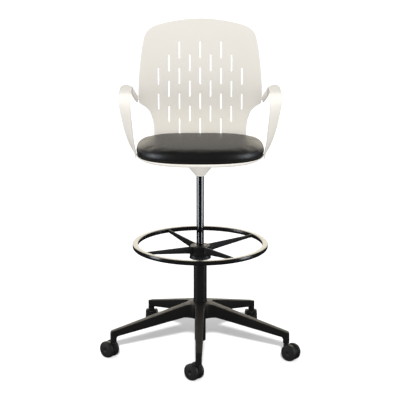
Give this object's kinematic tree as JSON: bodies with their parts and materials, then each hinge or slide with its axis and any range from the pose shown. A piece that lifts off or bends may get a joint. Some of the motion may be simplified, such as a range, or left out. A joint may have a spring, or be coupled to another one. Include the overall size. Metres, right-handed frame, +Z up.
{
  "type": "drafting chair",
  "caption": "High stool chair with slotted wrap-around back, arm loops and padded seat on a gas lift, sliding foot ring and star base on swivelling twin-wheel casters.",
  "frame": {"origin": "on the floor under the column, where its axis meets the floor", "axes": "+Z up the column, -Y the way the seat faces, +X to the right seen from the front"},
  "size_m": [0.7545, 0.6936, 1.233],
  "materials": {
    "base_nylon": "satin",
    "bright_steel": "satin",
    "column_paint": "satin",
    "white_acetal": "satin",
    "black_plastic": "satin",
    "polished_rod": "polished",
    "black_rubber": "matte",
    "piston_brass": "satin",
    "lift_gloss": "gloss",
    "ring_gloss": "gloss",
    "shell_white": "satin",
    "mechanism_paint": "matte",
    "plywood": "matte",
    "black_vinyl": "satin",
    "caster_nylon": "satin",
    "wheel_nylon": "satin"
  },
  "bodies": {
    "base": {"star_base": "base_nylon", "hub_ring": "bright_steel", "stem_sockets": "bright_steel", "caster_stems": "bright_steel", "column_tube": "column_paint", "column_bushing": "white_acetal", "column_cap": "black_plastic", "thrust_washer": "bright_steel"},
    "rod": {"piston_rod": "polished_rod", "rod_clip": "bright_steel", "thrust_bearing": "bright_steel", "rod_bumper": "black_rubber", "piston": "piston_brass"},
    "seat": {"lift_tube": "lift_gloss", "rod_seal": "black_rubber", "funnel": "shell_white", "mechanism": "mechanism_paint", "mechanism_screws": "bright_steel", "lever_pin": "bright_steel", "seat_pan": "shell_white", "cushion_board": "plywood", "cushion_screws": "bright_steel", "seat_cushion": "black_vinyl", "back_shell": "shell_white", "back_screws": "bright_steel", "left_arm": "shell_white", "right_arm": "shell_white", "arm_screws": "bright_steel", "ear_pins": "bright_steel"},
    "lever": {"lift_lever": "black_plastic"},
    "valve": {"valve_button": "bright_steel"},
    "ring": {"foot_ring": "ring_gloss", "ring_collet": "black_plastic"},
    "ring_nut": {"ring_nut": "black_plastic"},
    "front_caster": {"front_caster_housing": "caster_nylon", "front_caster_axle": "bright_steel"},
    "front_caster_left_wheel": {"front_caster_left_wheel": "wheel_nylon"},
    "front_caster_right_wheel": {"front_caster_right_wheel": "wheel_nylon"},
    "front_right_caster": {"front_right_caster_housing": "caster_nylon", "front_right_caster_axle": "bright_steel"},
    "front_right_caster_left_wheel": {"front_right_caster_left_wheel": "wheel_nylon"},
    "front_right_caster_right_wheel": {"front_right_caster_right_wheel": "wheel_nylon"},
    "rear_right_caster": {"rear_right_caster_housing": "caster_nylon", "rear_right_caster_axle": "bright_steel"},
    "rear_right_caster_left_wheel": {"rear_right_caster_left_wheel": "wheel_nylon"},
    "rear_right_caster_right_wheel": {"rear_right_caster_right_wheel": "wheel_nylon"},
    "rear_left_caster": {"rear_left_caster_housing": "caster_nylon", "rear_left_caster_axle": "bright_steel"},
    "rear_left_caster_left_wheel": {"rear_left_caster_left_wheel": "wheel_nylon"},
    "rear_left_caster_right_wheel": {"rear_left_caster_right_wheel": "wheel_nylon"},
    "front_left_caster": {"front_left_caster_housing": "caster_nylon", "front_left_caster_axle": "bright_steel"},
    "front_left_caster_left_wheel": {"front_left_caster_left_wheel": "wheel_nylon"},
    "front_left_caster_right_wheel": {"front_left_caster_right_wheel": "wheel_nylon"}
  },
  "joints": [
    {"name": "seat_swivel", "type": "hinge", "parent": "base", "child": "rod", "pos_m": [0, 0, 0.04], "axis": [0, 0, 1], "continuous": true},
    {"name": "seat_height", "type": "slide", "parent": "rod", "child": "seat", "axis": [0, 0, 1], "range_m": [-0.25, 0]},
    {"name": "lever_pull", "type": "hinge", "parent": "seat", "child": "lever", "pos_m": [0.032, 0, 0.718], "axis": [0, -1, 0], "range_deg": [0, 6], "stiffness_Nm_per_rad": 1.5, "springref_deg": -2.86},
    {"name": "valve_press", "type": "slide", "parent": "seat", "child": "valve", "axis": [0, 0, -1], "range_m": [0, 0.004]},
    {"name": "ring_height", "type": "slide", "parent": "base", "child": "ring", "axis": [0, 0, 1], "range_m": [-0.16, 0]},
    {"name": "ring_nut_turn", "type": "hinge", "parent": "ring", "child": "ring_nut", "pos_m": [0, 0, 0.37], "axis": [0, 0, 1], "range_deg": [-35, 0]},
    {"name": "front_caster_swivel", "type": "hinge", "parent": "base", "child": "front_caster", "pos_m": [-0.00564, -0.33995, 0.05], "axis": [0, 0, 1], "continuous": true},
    {"name": "front_caster_left_wheel_roll", "type": "hinge", "parent": "front_caster", "child": "front_caster_left_wheel", "pos_m": [-0.02199, -0.32523, 0.031], "axis": [-0.6691, -0.7431, 0], "continuous": true},
    {"name": "front_caster_right_wheel_roll", "type": "hinge", "parent": "front_caster", "child": "front_caster_right_wheel", "pos_m": [-0.02199, -0.32523, 0.031], "axis": [-0.6691, -0.7431, 0], "continuous": true},
    {"name": "front_right_caster_swivel", "type": "hinge", "parent": "base", "child": "front_right_caster", "pos_m": [0.32157, -0.11041, 0.05], "axis": [0, 0, 1], "continuous": true},
    {"name": "front_right_caster_left_wheel_roll", "type": "hinge", "parent": "front_right_caster", "child": "front_right_caster_left_wheel", "pos_m": [0.33891, -0.12396, 0.031], "axis": [0.6157, 0.788, 0], "continuous": true},
    {"name": "front_right_caster_right_wheel_roll", "type": "hinge", "parent": "front_right_caster", "child": "front_right_caster_right_wheel", "pos_m": [0.33891, -0.12396, 0.031], "axis": [0.6157, 0.788, 0], "continuous": true},
    {"name": "rear_right_caster_swivel", "type": "hinge", "parent": "base", "child": "rear_right_caster", "pos_m": [0.20438, 0.27171, 0.05], "axis": [0, 0, 1], "continuous": true},
    {"name": "rear_right_caster_left_wheel_roll", "type": "hinge", "parent": "rear_right_caster", "child": "rear_right_caster_left_wheel", "pos_m": [0.20361, 0.2937, 0.031], "axis": [-0.9994, -0.0349, 0], "continuous": true},
    {"name": "rear_right_caster_right_wheel_roll", "type": "hinge", "parent": "rear_right_caster", "child": "rear_right_caster_right_wheel", "pos_m": [0.20361, 0.2937, 0.031], "axis": [-0.9994, -0.0349, 0], "continuous": true},
    {"name": "rear_left_caster_swivel", "type": "hinge", "parent": "base", "child": "rear_left_caster", "pos_m": [-0.19526, 0.27834, 0.05], "axis": [0, 0, 1], "continuous": true},
    {"name": "rear_left_caster_left_wheel_roll", "type": "hinge", "parent": "rear_left_caster", "child": "rear_left_caster_left_wheel", "pos_m": [-0.19449, 0.30033, 0.031], "axis": [-0.9994, 0.0349, 0], "continuous": true},
    {"name": "rear_left_caster_right_wheel_roll", "type": "hinge", "parent": "rear_left_caster", "child": "rear_left_caster_right_wheel", "pos_m": [-0.19449, 0.30033, 0.031], "axis": [-0.9994, 0.0349, 0], "continuous": true},
    {"name": "front_left_caster_swivel", "type": "hinge", "parent": "base", "child": "front_left_caster", "pos_m": [-0.32506, -0.09969, 0.05], "axis": [0, 0, 1], "continuous": true},
    {"name": "front_left_caster_left_wheel_roll", "type": "hinge", "parent": "front_left_caster", "child": "front_left_caster_left_wheel", "pos_m": [-0.34141, -0.08497, 0.031], "axis": [-0.6691, -0.7431, 0], "continuous": true},
    {"name": "front_left_caster_right_wheel_roll", "type": "hinge", "parent": "front_left_caster", "child": "front_left_caster_right_wheel", "pos_m": [-0.34141, -0.08497, 0.031], "axis": [-0.6691, -0.7431, 0], "continuous": true}
  ],
  "couplings": [
    {"joint": "valve_press", "follows": "lever_pull", "m_per_rad": 0.032}
  ]
}
